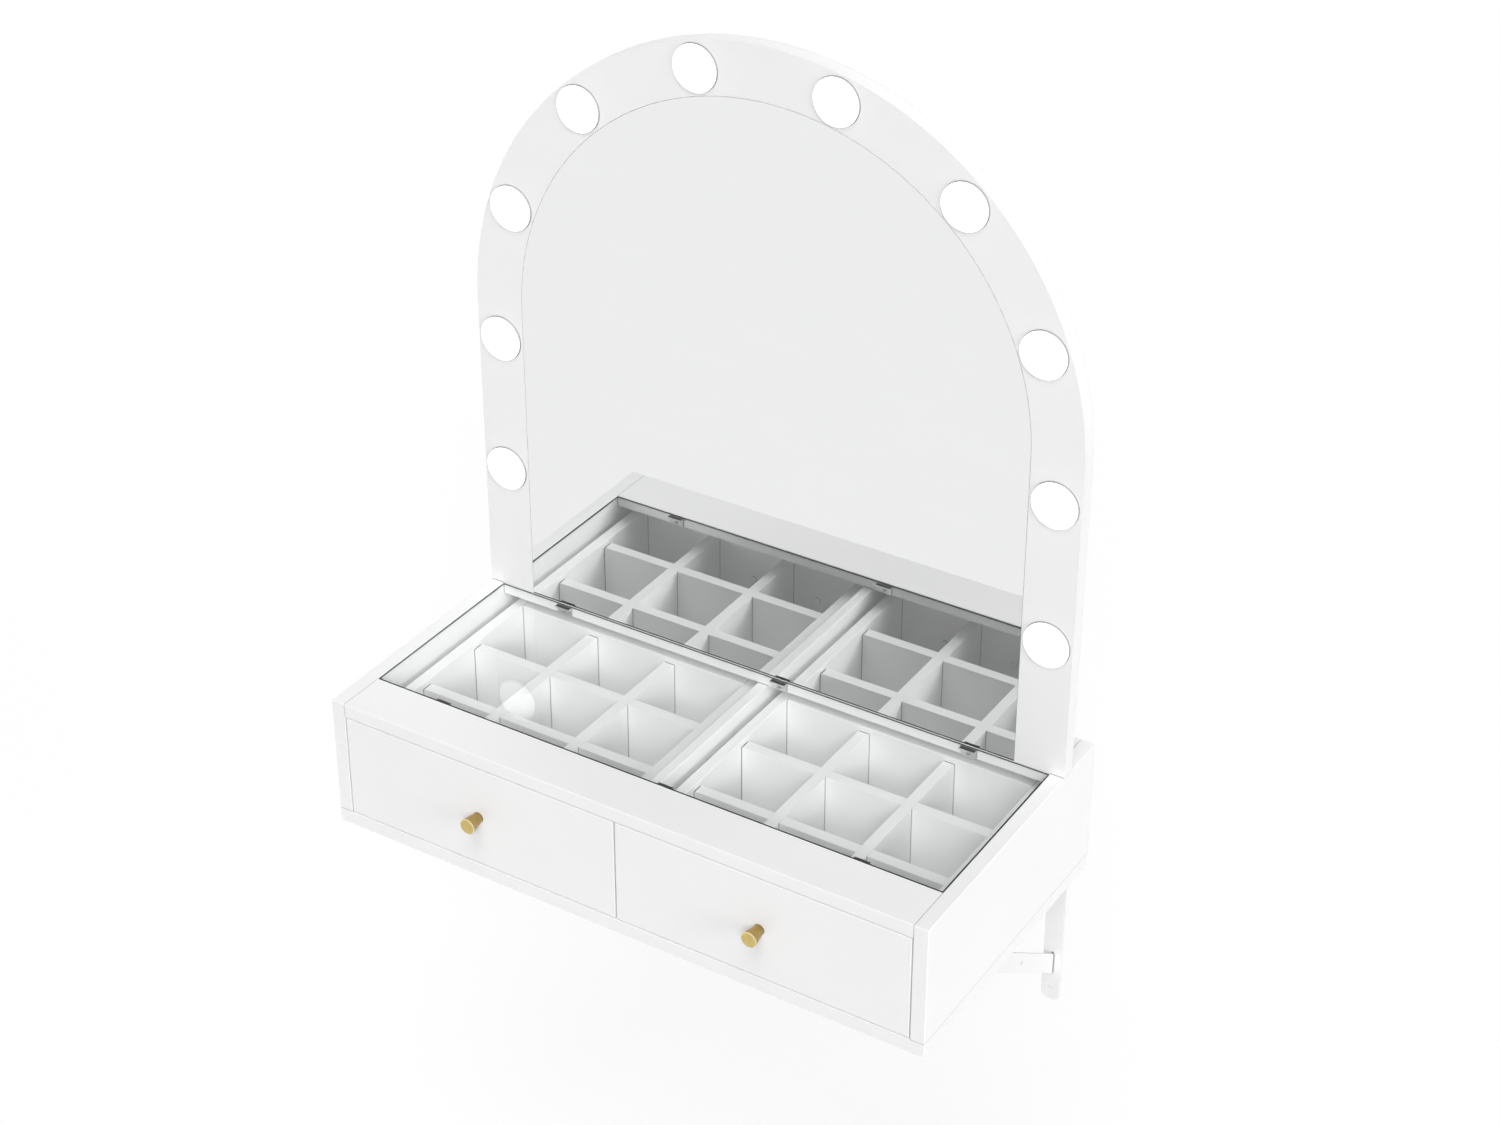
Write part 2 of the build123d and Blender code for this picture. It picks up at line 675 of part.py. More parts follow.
save(mirror_brackets.part, "mirror_brackets")


def wall_bracket(side):
    """Welded bracket: leg on the wall, arm under the case, diagonal brace on edge."""
    x = side * BRACKET_X
    half_bar = BAR_WIDTH / 2
    leg_bottom = CASE_BOTTOM - LEG_LENGTH
    arm_under = CASE_BOTTOM - BAR_THICK
    rise = radians(BRACE_RISE_DEG)
    foot_z = CASE_BOTTOM - BRACE_FOOT_BELOW_CASE
    foot_y = -BAR_THICK
    spread = half_bar / cos(rise)
    reach_low = (arm_under - foot_z + spread) / tan(rise)
    reach_high = (arm_under - foot_z - spread) / tan(rise)
    with BuildPart() as bracket:
        with BuildSketch(wall_plane(0)) as leg_sketch:
            with Locations((x, leg_bottom + LEG_LENGTH / 2)):
                Rectangle(BAR_WIDTH, LEG_LENGTH)
            fillet(leg_sketch.vertices().group_by(Axis.Z)[0], LEG_CORNER_R)
            with Locations((x, WALL_HOLES_Z / 2), (x, -WALL_HOLES_Z / 2)):
                Circle(WALL_HOLE_R, mode=Mode.SUBTRACT)
        extrude(amount=BAR_THICK)
        block((x - half_bar, x + half_bar), (-ARM_LENGTH, 0), (arm_under, CASE_BOTTOM))
        with BuildSketch(Plane.YZ.offset(x - BAR_THICK / 2)):
            with BuildLine():
                Polyline(
                    (foot_y, foot_z - spread),
                    (foot_y - reach_low, arm_under),
                    (foot_y - reach_high, arm_under),
                    (foot_y, foot_z + spread),
                    close=True,
                )
            make_face()
            with Locations((foot_y - BRACE_HOLE_ALONG * cos(rise), foot_z + BRACE_HOLE_ALONG * sin(rise))):
                Circle(WALL_HOLE_R, mode=Mode.SUBTRACT)
        extrude(amount=BAR_THICK)
        for px, py in ARM_SCREWS:
            if px * side > 0:
                shank((px, py, arm_under), (0, 0, 1), SCREW_R + FIT_GAP, BAR_THICK, Mode.SUBTRACT)
    return bracket.part


def across(side, face, direction, near, far):
    """x limits of a slide profile, measured from the face it is fixed on."""
    return side * (face + direction * near), side * (face + direction * far)


def slide_faces():
    """Case face and direction towards the drawer, for the inner and the outer slide."""
    return (BAY_INNER, 1), (BAY_OUTER, -1)


def slide_channel(side, face, way):
    """Outer slide member, fixed on the partition or on a side panel."""
    run = (SLIDE_FRONT_Y, SLIDE_REAR_Y)
    half = CHANNEL_HEIGHT / 2
    block(across(side, face, way, 0, STEEL), run, (SLIDE_Z - half, SLIDE_Z + half))
    for up in (-1, 1):
        shelf = (SLIDE_Z + up * (half - STEEL), SLIDE_Z + up * half)
        lip = (SLIDE_Z + up * (half - STEEL - CHANNEL_LIP), SLIDE_Z + up * half)
        block(across(side, face, way, 0, CHANNEL_DEPTH), run, shelf)
        block(across(side, face, way, CHANNEL_DEPTH - STEEL, CHANNEL_DEPTH), run, lip)
    for py in SLIDE_SCREW_Y:
        shank(
            (side * face, py, SLIDE_Z),
            (side * way, 0, 0),
            SCREW_R + FIT_GAP,
            STEEL,
            Mode.SUBTRACT,
        )


# Outer slide members of both drawers
with BuildPart() as slide_channels:
    for s in SIDES.values():
        for rail_face, rail_way in slide_faces():
            slide_channel(s, rail_face, rail_way)
save(slide_channels.part, "slide_channels")

# Low-head screws that fix the outer slide members
with BuildPart() as slide_channel_screws:
    for s in SIDES.values():
        for rail_face, rail_way in slide_faces():
            for py in SLIDE_SCREW_Y:
                headed_screw(
                    (s * (rail_face + rail_way * STEEL), py, SLIDE_Z),
                    (-s * rail_way, 0, 0),
                    SCREW_R,
                    SLIDE_SCREW_LENGTH,
                    SLIDE_SCREW_HEAD_R,
                    SLIDE_SCREW_HEAD_HEIGHT,
                )
save(slide_channel_screws.part, "slide_channel_screws")


def slide_runners(side):
    """Inner slide members, fixed on the two sides of the drawer box."""
    with BuildPart() as runners:
        for face, way in slide_faces():
            run = (SLIDE_FRONT_Y, SLIDE_REAR_Y)
            half = RUNNER_HEIGHT / 2
            web = across(side, face, way, SLIDE_SPACE - STEEL, SLIDE_SPACE)
            block(web, run, (SLIDE_Z - half, SLIDE_Z + half))
            for up in (-1, 1):
                block(
                    across(side, face, way, SLIDE_SPACE - RUNNER_DEPTH, SLIDE_SPACE),
                    run,
                    (SLIDE_Z + up * (half - STEEL), SLIDE_Z + up * half),
                )
            for py in SLIDE_SCREW_Y:
                shank(
                    (web[0], py, SLIDE_Z),
                    (side * way, 0, 0),
                    SCREW_R + FIT_GAP,
                    STEEL,
                    Mode.SUBTRACT,
                )
    return runners.part


def bearing_ball():
    """Steel ball with flats at its radius."""
    width = 2 * BALL_R
    with BuildPart(mode=Mode.PRIVATE) as ball:
        Box(width, width, width)
        for turn in ((45, 0, 0), (0, 45, 0), (0, 0, 45)):
            Box(width, width, width, rotation=turn, mode=Mode.INTERSECT)
    return ball.part


def ball_cages(side):
    """Ball cages between the members, each with its balls."""
    with BuildPart() as cages:
        for face, way in slide_faces():
            run = (CAGE_FRONT_Y, CAGE_FRONT_Y + CAGE_LENGTH)
            half = BALL_UP + CAGE_THICK / 2
            block(
                across(side, face, way, CAGE_WEB_AT, CAGE_WEB_AT + CAGE_THICK),
                run,
                (SLIDE_Z - half, SLIDE_Z + half),
            )
            ball_x = side * (face + way * BALL_AT)
            for up in (-1, 1):
                block(
                    across(side, face, way, CAGE_WEB_AT, CAGE_DEPTH),
                    run,
                    (SLIDE_Z + up * (half - CAGE_THICK), SLIDE_Z + up * half),
                )
                for by in BALL_Y:
                    window = BALL_R + RUNNING_GAP
                    block(
                        (ball_x - window, ball_x + window),
                        (by - window, by + window),
                        (SLIDE_Z + up * (half - CAGE_THICK), SLIDE_Z + up * half),
                        Mode.SUBTRACT,
                    )
            with Locations(*[(ball_x, by, SLIDE_Z + up * BALL_UP) for up in (-1, 1) for by in BALL_Y]):
                add(bearing_ball())
    return cages.part


def drawer_front(side):
    """Inset front panel, flush with the case."""
    inner = CENTRE_GAP / 2
    with BuildPart() as front:
        block(
            (side * inner, side * (BAY_OUTER - FRONT_GAP)),
            (FRONT_Y, BOX_FRONT_Y),
            (FRONT_Z, FRONT_TOP),
        )
        chamfer(front.edges().group_by(Axis.Y)[0], EDGE_BREAK)
        shank(
            (side * KNOB_X, FRONT_Y, KNOB_Z),
            (0, 1, 0),
            KNOB_SCREW_R + FIT_GAP,
            FRONT_THICK,
            Mode.SUBTRACT,
        )
        for turn in (-1, 1):
            shank(
                (side * (BOX_CENTRE_X + turn * FRONT_SCREW_X), BOX_FRONT_Y, FRONT_SCREW_Z),
                (0, -1, 0),
                SCREW_R + FIT_GAP,
                FRONT_SCREW_LENGTH - BOX_BOARD,
                Mode.SUBTRACT,
            )
    return front.part


def floor_groove(x, y):
    """Groove that holds the bottom board."""
    block(x, y, (FLOOR_Z - GROOVE_GAP, FLOOR_TOP + GROOVE_GAP), Mode.SUBTRACT)


def box_side(side, near, far, room_way):
    """Side of the drawer box; near is its outer face, room_way points into the box."""
    with BuildPart() as board:
        block((side * near, side * far), (BOX_FRONT_Y, BOX_REAR_Y), (BOX_BOTTOM, BOX_TOP))
        fillet(board.edges().filter_by(Axis.Y).group_by(Axis.Z)[-1], TOP_EDGE_R)
        floor_groove(
            (side * far, side * (far - room_way * GROOVE_DEPTH)),
            (BOX_FRONT_Y, BOX_REAR_Y),
        )
        for py in (BOX_FRONT_Y + BOX_BOARD / 2, BOX_REAR_Y - BOX_BOARD / 2):
            for pz in BOX_SCREW_Z:
                seat = (side * near, py, pz)
                inward = (side * room_way, 0, 0)
                shank(seat, inward, BOX_SCREW_R + FIT_GAP, BOX_BOARD, Mode.SUBTRACT)
                sink(seat, inward, BOX_SCREW_HEAD_R, BOX_SCREW_HEAD_R / 2, Mode.SUBTRACT)
        for py in SLIDE_SCREW_Y:
            shank(
                (side * near, py, SLIDE_Z),
                (side * room_way, 0, 0),
                SCREW_R + FIT_GAP,
                SLIDE_SCREW_LENGTH - STEEL,
                Mode.SUBTRACT,
            )
    return board.part


def box_end(side, y, groove_y):
    """Front or back board of the drawer box, between its sides."""
    with BuildPart() as board:
        block((side * ROOM_INNER, side * ROOM_OUTER), y, (BOX_BOTTOM, BOX_TOP))
        fillet(board.edges().filter_by(Axis.X).group_by(Axis.Z)[-1], TOP_EDGE_R)
        floor_groove((side * ROOM_INNER, side * ROOM_OUTER), groove_y)
        for end, way in ((ROOM_INNER, 1), (ROOM_OUTER, -1)):
            for pz in BOX_SCREW_Z:
                shank(
                    (side * end, sum(y) / 2, pz),
                    (side * way, 0, 0),
                    BOX_SCREW_R + FIT_GAP,
                    BOX_SCREW_LENGTH - BOX_BOARD,
                    Mode.SUBTRACT,
                )
        if y[0] == BOX_FRONT_Y:
            for turn in (-1, 1):
                shank(
                    (side * (BOX_CENTRE_X + turn * FRONT_SCREW_X), y[0], FRONT_SCREW_Z),
                    (0, 1, 0),
                    SCREW_R + FIT_GAP,
                    BOX_BOARD,
                    Mode.SUBTRACT,
                )
            shank(
                (side * KNOB_X, y[0], KNOB_Z),
                (0, 1, 0),
                KNOB_SCREW_R + FIT_GAP,
                BOX_BOARD,
                Mode.SUBTRACT,
            )
    return board.part


def drawer_bottom(side):
    """Bottom board, held in the grooves on all four sides."""
    inset = GROOVE_DEPTH - GROOVE_GAP
    with BuildPart() as board:
        block(
            (side * (ROOM_INNER - inset), side * (ROOM_OUTER + inset)),
            (ROOM_FRONT_Y - inset, ROOM_REAR_Y + inset),
            (FLOOR_Z, FLOOR_TOP),
        )
    return board.part


def lengthwise_divider(side, x):
    """Divider from front to back, with slots from below for the cross dividers."""
    low = ROOM_FRONT_Y + DIVIDER_END_GAP
    high = ROOM_REAR_Y - DIVIDER_END_GAP
    with BuildPart() as board:
        block(
            (side * x - BOX_BOARD / 2, side * x + BOX_BOARD / 2),
            (low, high),
            (FLOOR_TOP, DIVIDER_TOP),
        )
        fillet(board.edges().filter_by(Axis.X).group_by(Axis.Z)[-1], DIVIDER_END_R)
        for y in DIVIDER_Y:
            slot = BOX_BOARD / 2 + LAP_GAP
            block(
                (side * x - BOX_BOARD, side * x + BOX_BOARD),
                (y - slot, y + slot),
                (FLOOR_TOP, LAP_Z + LAP_GAP),
                Mode.SUBTRACT,
            )
    return board.part


def cross_divider(side, y):
    """Divider from side to side, with slots from above for the lengthwise dividers."""
    low = ROOM_INNER + DIVIDER_END_GAP
    high = ROOM_OUTER - DIVIDER_END_GAP
    with BuildPart() as board:
        block(
            (side * low, side * high),
            (y - BOX_BOARD / 2, y + BOX_BOARD / 2),
            (FLOOR_TOP, DIVIDER_TOP),
        )
        fillet(board.edges().filter_by(Axis.Y).group_by(Axis.Z)[-1], DIVIDER_END_R)
        for x in DIVIDER_X:
            slot = BOX_BOARD / 2 + LAP_GAP
            block(
                (side * x - slot, side * x + slot),
                (y - BOX_BOARD, y + BOX_BOARD),
                (LAP_Z, DIVIDER_TOP),
                Mode.SUBTRACT,
            )
    return board.part


def drawer_knob(side):
    """Turned knob that widens towards the hand."""
    foot = (side * KNOB_X, FRONT_Y, KNOB_Z)
    with BuildPart() as knob:
        with BuildSketch(Plane(origin=foot, x_dir=(1, 0, 0), z_dir=(0, 0, 1))):
            with BuildLine():
                Polyline(
                    (0, 0),
                    (KNOB_BASE_R, 0),
                    (KNOB_FACE_R, KNOB_CHAMFER - KNOB_LENGTH),
                    (KNOB_FACE_R - KNOB_CHAMFER, -KNOB_LENGTH),
                    (0, -KNOB_LENGTH),
                    close=True,
                )
            make_face()
        revolve(axis=Axis(foot, (0, -1, 0)))
        shank(foot, (0, -1, 0), KNOB_SCREW_R + FIT_GAP, KNOB_SCREW_IN_KNOB + FIT_GAP, Mode.SUBTRACT)
    return knob.part


def drawer_screws(side):
    """Screws of one drawer: box corners, front panel, knob and slide members."""
    with BuildPart() as screws:
        for near, way in ((BOX_INNER, 1), (BOX_OUTER, -1)):
            inward = (side * way, 0, 0)
            for py in (BOX_FRONT_Y + BOX_BOARD / 2, BOX_REAR_Y - BOX_BOARD / 2):
                for pz in BOX_SCREW_Z:
                    seat = (side * near, py, pz)
                    shank(seat, inward, BOX_SCREW_R, BOX_SCREW_LENGTH)
                    sink(seat, inward, BOX_SCREW_HEAD_R - FIT_GAP, BOX_SCREW_HEAD_R / 2)
            for py in SLIDE_SCREW_Y:
                headed_screw(
                    (side * (near - way * STEEL), py, SLIDE_Z),
                    inward,
                    SCREW_R,
                    SLIDE_SCREW_LENGTH,
                    SLIDE_SCREW_HEAD_R,
                    SLIDE_SCREW_HEAD_HEIGHT,
                )
        for turn in (-1, 1):
            headed_screw(
                (side * (BOX_CENTRE_X + turn * FRONT_SCREW_X), ROOM_FRONT_Y, FRONT_SCREW_Z),
                (0, -1, 0),
                SCREW_R,
                FRONT_SCREW_LENGTH,
                SCREW_HEAD_R,
                SCREW_HEAD_HEIGHT,
            )
        headed_screw(
            (side * KNOB_X, ROOM_FRONT_Y, KNOB_Z),
            (0, -1, 0),
            KNOB_SCREW_R,
            BOX_BOARD + FRONT_THICK + KNOB_SCREW_IN_KNOB,
            KNOB_SCREW_HEAD_R,
            SCREW_HEAD_HEIGHT,
        )
    return screws.part


for name, s in SIDES.items():
    save(wall_bracket(s), f"wall_bracket_{name}")
    save(ball_cages(s), f"ball_cages_{name}")
    save(slide_runners(s), f"slide_runners_{name}")
    save(drawer_front(s), f"drawer_front_{name}")
    front_y = (BOX_FRONT_Y, ROOM_FRONT_Y)
    rear_y = (ROOM_REAR_Y, BOX_REAR_Y)
    save(box_end(s, front_y, (ROOM_FRONT_Y - GROOVE_DEPTH, ROOM_FRONT_Y)), f"box_front_{name}")
    save(box_end(s, rear_y, (ROOM_REAR_Y, ROOM_REAR_Y + GROOVE_DEPTH)), f"box_back_{name}")
    save(box_side(s, BOX_INNER, ROOM_INNER, 1), f"box_inner_side_{name}")
    save(box_side(s, BOX_OUTER, ROOM_OUTER, -1), f"box_outer_side_{name}")
    save(drawer_bottom(s), f"drawer_bottom_{name}")
    for number, dx in enumerate(DIVIDER_X, start=1):
        save(lengthwise_divider(s, dx), f"divider_lengthwise_{name}_{number}")
    for number, dy in enumerate(DIVIDER_Y, start=1):
        save(cross_divider(s, dy), f"divider_cross_{name}_{number}")
    save(drawer_knob(s), f"knob_{name}")
    save(drawer_screws(s), f"drawer_screws_{name}")
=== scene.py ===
"""Looks of the wall-mounted vanity: finishes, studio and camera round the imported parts."""

import json
import math

import bmesh
import bpy
from mathutils import Matrix, Vector

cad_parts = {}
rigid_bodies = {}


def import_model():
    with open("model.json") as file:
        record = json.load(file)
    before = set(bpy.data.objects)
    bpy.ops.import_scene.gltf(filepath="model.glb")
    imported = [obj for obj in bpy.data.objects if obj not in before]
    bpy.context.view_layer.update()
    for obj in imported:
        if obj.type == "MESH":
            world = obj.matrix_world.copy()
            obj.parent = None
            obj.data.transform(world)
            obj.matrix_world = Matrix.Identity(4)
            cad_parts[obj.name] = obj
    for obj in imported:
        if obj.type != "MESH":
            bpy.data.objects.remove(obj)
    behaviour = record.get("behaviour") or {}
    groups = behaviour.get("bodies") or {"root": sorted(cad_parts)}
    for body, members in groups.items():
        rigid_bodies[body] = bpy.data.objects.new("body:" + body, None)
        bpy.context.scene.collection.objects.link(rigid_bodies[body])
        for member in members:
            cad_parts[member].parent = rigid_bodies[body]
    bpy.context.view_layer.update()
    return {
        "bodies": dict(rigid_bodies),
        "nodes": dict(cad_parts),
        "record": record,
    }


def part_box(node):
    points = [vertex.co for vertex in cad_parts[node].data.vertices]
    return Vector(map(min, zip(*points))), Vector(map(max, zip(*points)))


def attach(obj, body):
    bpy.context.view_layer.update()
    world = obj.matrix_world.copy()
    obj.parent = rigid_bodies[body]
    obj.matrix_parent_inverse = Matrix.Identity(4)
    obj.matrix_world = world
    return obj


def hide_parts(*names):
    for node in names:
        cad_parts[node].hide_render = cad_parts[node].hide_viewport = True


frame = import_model()
nodes = frame["nodes"]
slot_of = {part["node"]: part["material_slot"] for part in frame["record"]["subparts"]}


# Node helpers

class Recipe:
    """The node tree of a material or world, filled one node at a time."""

    def __init__(self, owner, output="OutputMaterial"):
        self.owner = owner
        owner.use_nodes = True
        self.tree = owner.node_tree
        self.tree.nodes.clear()
        self.output = self.add(output)

    def add(self, kind, inputs=None, **settings):
        node = self.tree.nodes.new("ShaderNode" + kind)
        for key, value in settings.items():
            setattr(node, key, value)
        for key, value in (inputs or {}).items():
            self.feed(node.inputs[key], value)
        return node

    def feed(self, socket, value):
        if isinstance(value, bpy.types.NodeSocket):
            self.tree.links.new(value, socket)
        elif isinstance(value, bpy.types.Node):
            self.tree.links.new(value.outputs[0], socket)
        else:
            socket.default_value = value

    def math(self, operation, *values):
        node = self.add("Math", operation=operation)
        for socket, value in zip(node.inputs, values):
            self.feed(socket, value)
        return node.outputs[0]

    def place(self, source="Object", scale=(1, 1, 1), shift=(0, 0, 0)):
        spot = self.add("TexCoord")
        mapping = self.add("Mapping", {"Vector": spot.outputs[source], "Scale": scale, "Location": shift})
        return mapping.outputs[0]

    def noise(self, scale, detail=2.0, roughness=0.5, vector=None, distortion=0.0):
        node = self.add("TexNoise", {
            "Vector": vector if vector is not None else self.place(),
            "Scale": scale, "Detail": detail, "Roughness": roughness, "Distortion": distortion,
        })
        return node.outputs["Fac"]

    def spread(self, value, low, high, start=0.3, end=0.7):
        """A texture value spread over low to high."""
        node = self.add("MapRange", {
            "Value": value, "From Min": start, "From Max": end, "To Min": low, "To Max": high,
        })
        return node.outputs[0]

    def tint(self, fac, first, second, blend_type="MIX"):
        """Colour between first and second; each is a colour or a socket."""
        node = self.add("Mix", data_type="RGBA", blend_type=blend_type)
        self.feed(node.inputs[0], fac)
        self.feed(node.inputs[6], (*first, 1.0) if isinstance(first, tuple) else first)
        self.feed(node.inputs[7], (*second, 1.0) if isinstance(second, tuple) else second)
        return node.outputs[2]

    def facing(self, axis):
        """How far a face looks along an axis of the frame, from -1 to 1."""
        flat = self.add("NewGeometry").outputs["True Normal"]
        return self.add("SeparateXYZ", {"Vector": flat}).outputs[axis]

    def from_axis(self, parts):
        """Distance from the Y axis, from the split parts of a place."""
        squares = [self.math("POWER", parts.outputs[axis], 2.0) for axis in "XZ"]
        return self.math("SQRT", self.math("ADD", *squares))

    def seen_directly(self):
        """1 where the eye, a reflection or a view through glass meets the surface."""
        path = self.add("LightPath")
        seen = self.math("MAXIMUM", path.outputs["Is Camera Ray"], path.outputs["Is Glossy Ray"])
        return self.math("MAXIMUM", seen, path.outputs["Is Transmission Ray"])

    def soft_edge(self, radius):
        return self.add("Bevel", {"Radius": radius}, samples=6).outputs[0]

    def edge_mask(self, rounded):
        """1 on a sharp edge, 0 on a flat face."""
        flat = self.add("NewGeometry").outputs["True Normal"]
        dot = self.add("VectorMath", operation="DOT_PRODUCT")
        self.feed(dot.inputs[0], rounded)
        self.feed(dot.inputs[1], flat)
        return self.spread(dot.outputs["Value"], 1.0, 0.0, 0.75, 0.985)

    def painted_seam_shade(self, colour, reach, depth):
        """The colour, darker in seams and hollows narrower than reach: painted shade from an ambient
        occlusion mask.
        """
        open_share = self.add("AmbientOcclusion", {"Distance": reach}, samples=8).outputs["AO"]
        depth_here = self.spread(open_share, depth, 0.0, 0.45, 0.95)
        return self.tint(depth_here, colour, SEAM_SHADE_TONE, "MULTIPLY")

    def bump(self, height, strength, distance, normal=None):
        inputs = {"Height": height, "Strength": strength, "Distance": distance}
        if normal is not None:
            inputs["Normal"] = normal
        return self.add("Bump", inputs).outputs[0]

    def principled(self, **inputs):
        named = {key.replace("_", " "): value for key, value in inputs.items()}
        return self.add("BsdfPrincipled", named)

    def mix(self, fac, first, second):
        node = self.add("MixShader")
        self.feed(node.inputs[0], fac)
        self.feed(node.inputs[1], first)
        self.feed(node.inputs[2], second)
        return node

    def finish(self, shader):
        self.feed(self.output.inputs["Surface"], shader)
        return self.owner


def new_recipe(name):
    return Recipe(bpy.data.materials.new(name))


# Finishes

# Colour of the painted shade in seams and hollows.
SEAM_SHADE_TONE = (0.12, 0.12, 0.12)
LACQUER = (0.905, 0.905, 0.903)
LACQUER_SHADE = (0.885, 0.886, 0.886)
LACQUER_EDGE = (0.80, 0.795, 0.78)


def white_lacquer():
    """Sprayed satin lacquer with a fine peel and rubbed edges; its seams are darkened as painted shade.
    """
    r = new_recipe("white_lacquer")
    cloud = r.noise(5.0, 3.0)
    base = r.tint(r.spread(cloud, 0.0, 1.0), LACQUER, LACQUER_SHADE)
    rounded = r.soft_edge(0.0007)
    edge = r.edge_mask(rounded)
    rubbed = r.math("MULTIPLY", edge, r.spread(r.noise(60.0, 3.0), 0.0, 0.5, 0.4, 0.65))
    # Painted shade: colour darkened in seams narrower than 1.4 mm by an ambient occlusion mask.
    colour = r.painted_seam_shade(r.tint(rubbed, base, LACQUER_EDGE), 0.0014, 1.0)
    peel = r.noise(420.0, 2.0, 0.45)
    grain = r.noise(30.0, 3.0, 0.6, r.place(scale=(1.0, 6.0, 6.0)))
    height = r.math("ADD", peel, r.math("MULTIPLY", grain, 0.35))
    normal = r.bump(height, 0.10, 0.0002, rounded)
    sheen = r.spread(r.noise(38.0, 4.0), 0.35, 0.42, 0.2, 0.8)
    rough = r.math("ADD", sheen, r.math("MULTIPLY", rubbed, 0.15))
    return r.finish(r.principled(
        Base_Color=colour, Roughness=rough, Normal=normal, IOR=1.46, Specular_IOR_Level=0.45,
    ))


def white_steel():
    """White powder coat, worn along its edges, with painted shade in its seams and holes."""
    r = new_recipe("white_steel")
    base = r.tint(r.spread(r.noise(14.0, 3.0), 0.0, 1.0), (0.905, 0.906, 0.905), (0.88, 0.882, 0.882))
    rounded = r.soft_edge(0.0006)
    edge = r.edge_mask(rounded)
    worn = r.math("MULTIPLY", edge, r.spread(r.noise(90.0, 4.0), 0.0, 0.6, 0.42, 0.66))
    # Painted shade: colour darkened in seams and holes narrower than 3 mm by an ambient occlusion mask.
    colour = r.painted_seam_shade(r.tint(worn, base, (0.72, 0.72, 0.71)), 0.003, 1.0)
    powder = r.noise(1300.0, 2.0, 0.6)
    normal = r.bump(powder, 0.22, 0.0002, rounded)
    rough = r.spread(r.noise(120.0, 3.0), 0.38, 0.50)
    return r.finish(r.principled(Base_Color=colour, Roughness=rough, Normal=normal, IOR=1.5))


def clear_glass():
    """Clear glass that lamp light passes unbent, with its edge faces painted near black as painted shade.
    """
    r = new_recipe("clear_glass")
    smear = r.noise(22.0, 5.0, 0.62, r.place(scale=(1.0, 2.2, 1.0)), 0.6)
    haze = r.spread(smear, 0.0, 0.012, 0.55, 0.8)
    glass = r.add("BsdfGlass", {"Color": (0.988, 0.994, 0.991, 1.0), "Roughness": haze, "IOR": 1.5})
    through = r.add("BsdfTransparent", {"Color": (0.984, 0.989, 0.987, 1.0)})
    path = r.add("LightPath")
    indirect = r.math("MAXIMUM", path.outputs["Is Shadow Ray"], path.outputs["Is Diffuse Ray"])
    face = r.mix(indirect, glass, through)
    # Edge faces painted near black: painted shade for the dark that the glass edges show.
    rim = r.math("LESS_THAN", r.math("ABSOLUTE", r.facing("Z")), 0.5)
    rim_cloud = r.spread(r.noise(160.0, 3.0), 0.0, 1.0)
    dark_rim_shade = r.principled(
        Base_Color=r.tint(rim_cloud, (0.005, 0.007, 0.006), (0.012, 0.015, 0.014)),
        Roughness=r.spread(r.noise(240.0, 2.0), 0.3, 0.45), Specular_IOR_Level=0.15,
    )
    return r.finish(r.mix(r.math("MULTIPLY", rim, 0.94), face, dark_rim_shade))


def mirror_silver():
    """Silvered glass with a green rim; it throws little light on the pieces round it."""
    r = new_recipe("mirror_silver")
    film = r.noise(9.0, 5.0, 0.6, r.place(scale=(1.0, 1.0, 2.0)), 0.4)
    rough = r.spread(film, 0.004, 0.02, 0.45, 0.8)
    tone = r.tint(r.spread(film, 0.0, 1.0), (0.845, 0.848, 0.848), (0.838, 0.841, 0.841))
    silver = r.principled(Base_Color=tone, Metallic=1.0, Roughness=rough)
    dark = r.add("BsdfDiffuse", {"Color": (0.16, 0.162, 0.162, 1.0)})
    path = r.add("LightPath")
    rim = r.math("LESS_THAN", r.math("ABSOLUTE", r.facing("Y")), 0.5)
    front = r.mix(path.outputs["Is Diffuse Ray"], silver, dark)
    green = r.tint(r.spread(r.noise(120.0), 0.0, 1.0), (0.42, 0.55, 0.50), (0.30, 0.42, 0.38))
    edge = r.principled(Base_Color=green, Roughness=0.18)
    return r.finish(r.mix(rim, front, edge))


def opal_lens():
    """Opal lens that glows at its front, with its wall painted mid grey as painted shade."""
    r = new_recipe("opal_lens")
    spot = r.place("Generated", shift=(-0.5, -0.5, -0.5))
    parts = r.add("SeparateXYZ", {"Vector": spot})
    front = r.spread(r.facing("Y"), 1.0, 0.0, -0.75, -0.35)
    glow = r.math("MULTIPLY", front, r.spread(r.from_axis(parts), 1.5, 1.05, 0.0, 0.5))
    mottle = r.spread(r.noise(200.0), 0.0, 1.0)
    face = r.tint(mottle, (0.93, 0.93, 0.92), (0.90, 0.90, 0.89))
    # Painted shade: the same opal, painted mid grey on the wall that faces sideways.
    wall_shade_tone = r.tint(mottle, (0.50, 0.50, 0.50), (0.46, 0.46, 0.46))
    base = r.tint(front, wall_shade_tone, face)
    normal = r.bump(r.noise(900.0), 0.06, 0.0001, r.soft_edge(0.0008))
    return r.finish(r.principled(
        Base_Color=base, Roughness=r.spread(r.noise(300.0), 0.25, 0.36), Normal=normal,
        Emission_Color=(1.0, 0.996, 0.985, 1.0), Emission_Strength=glow,
    ))


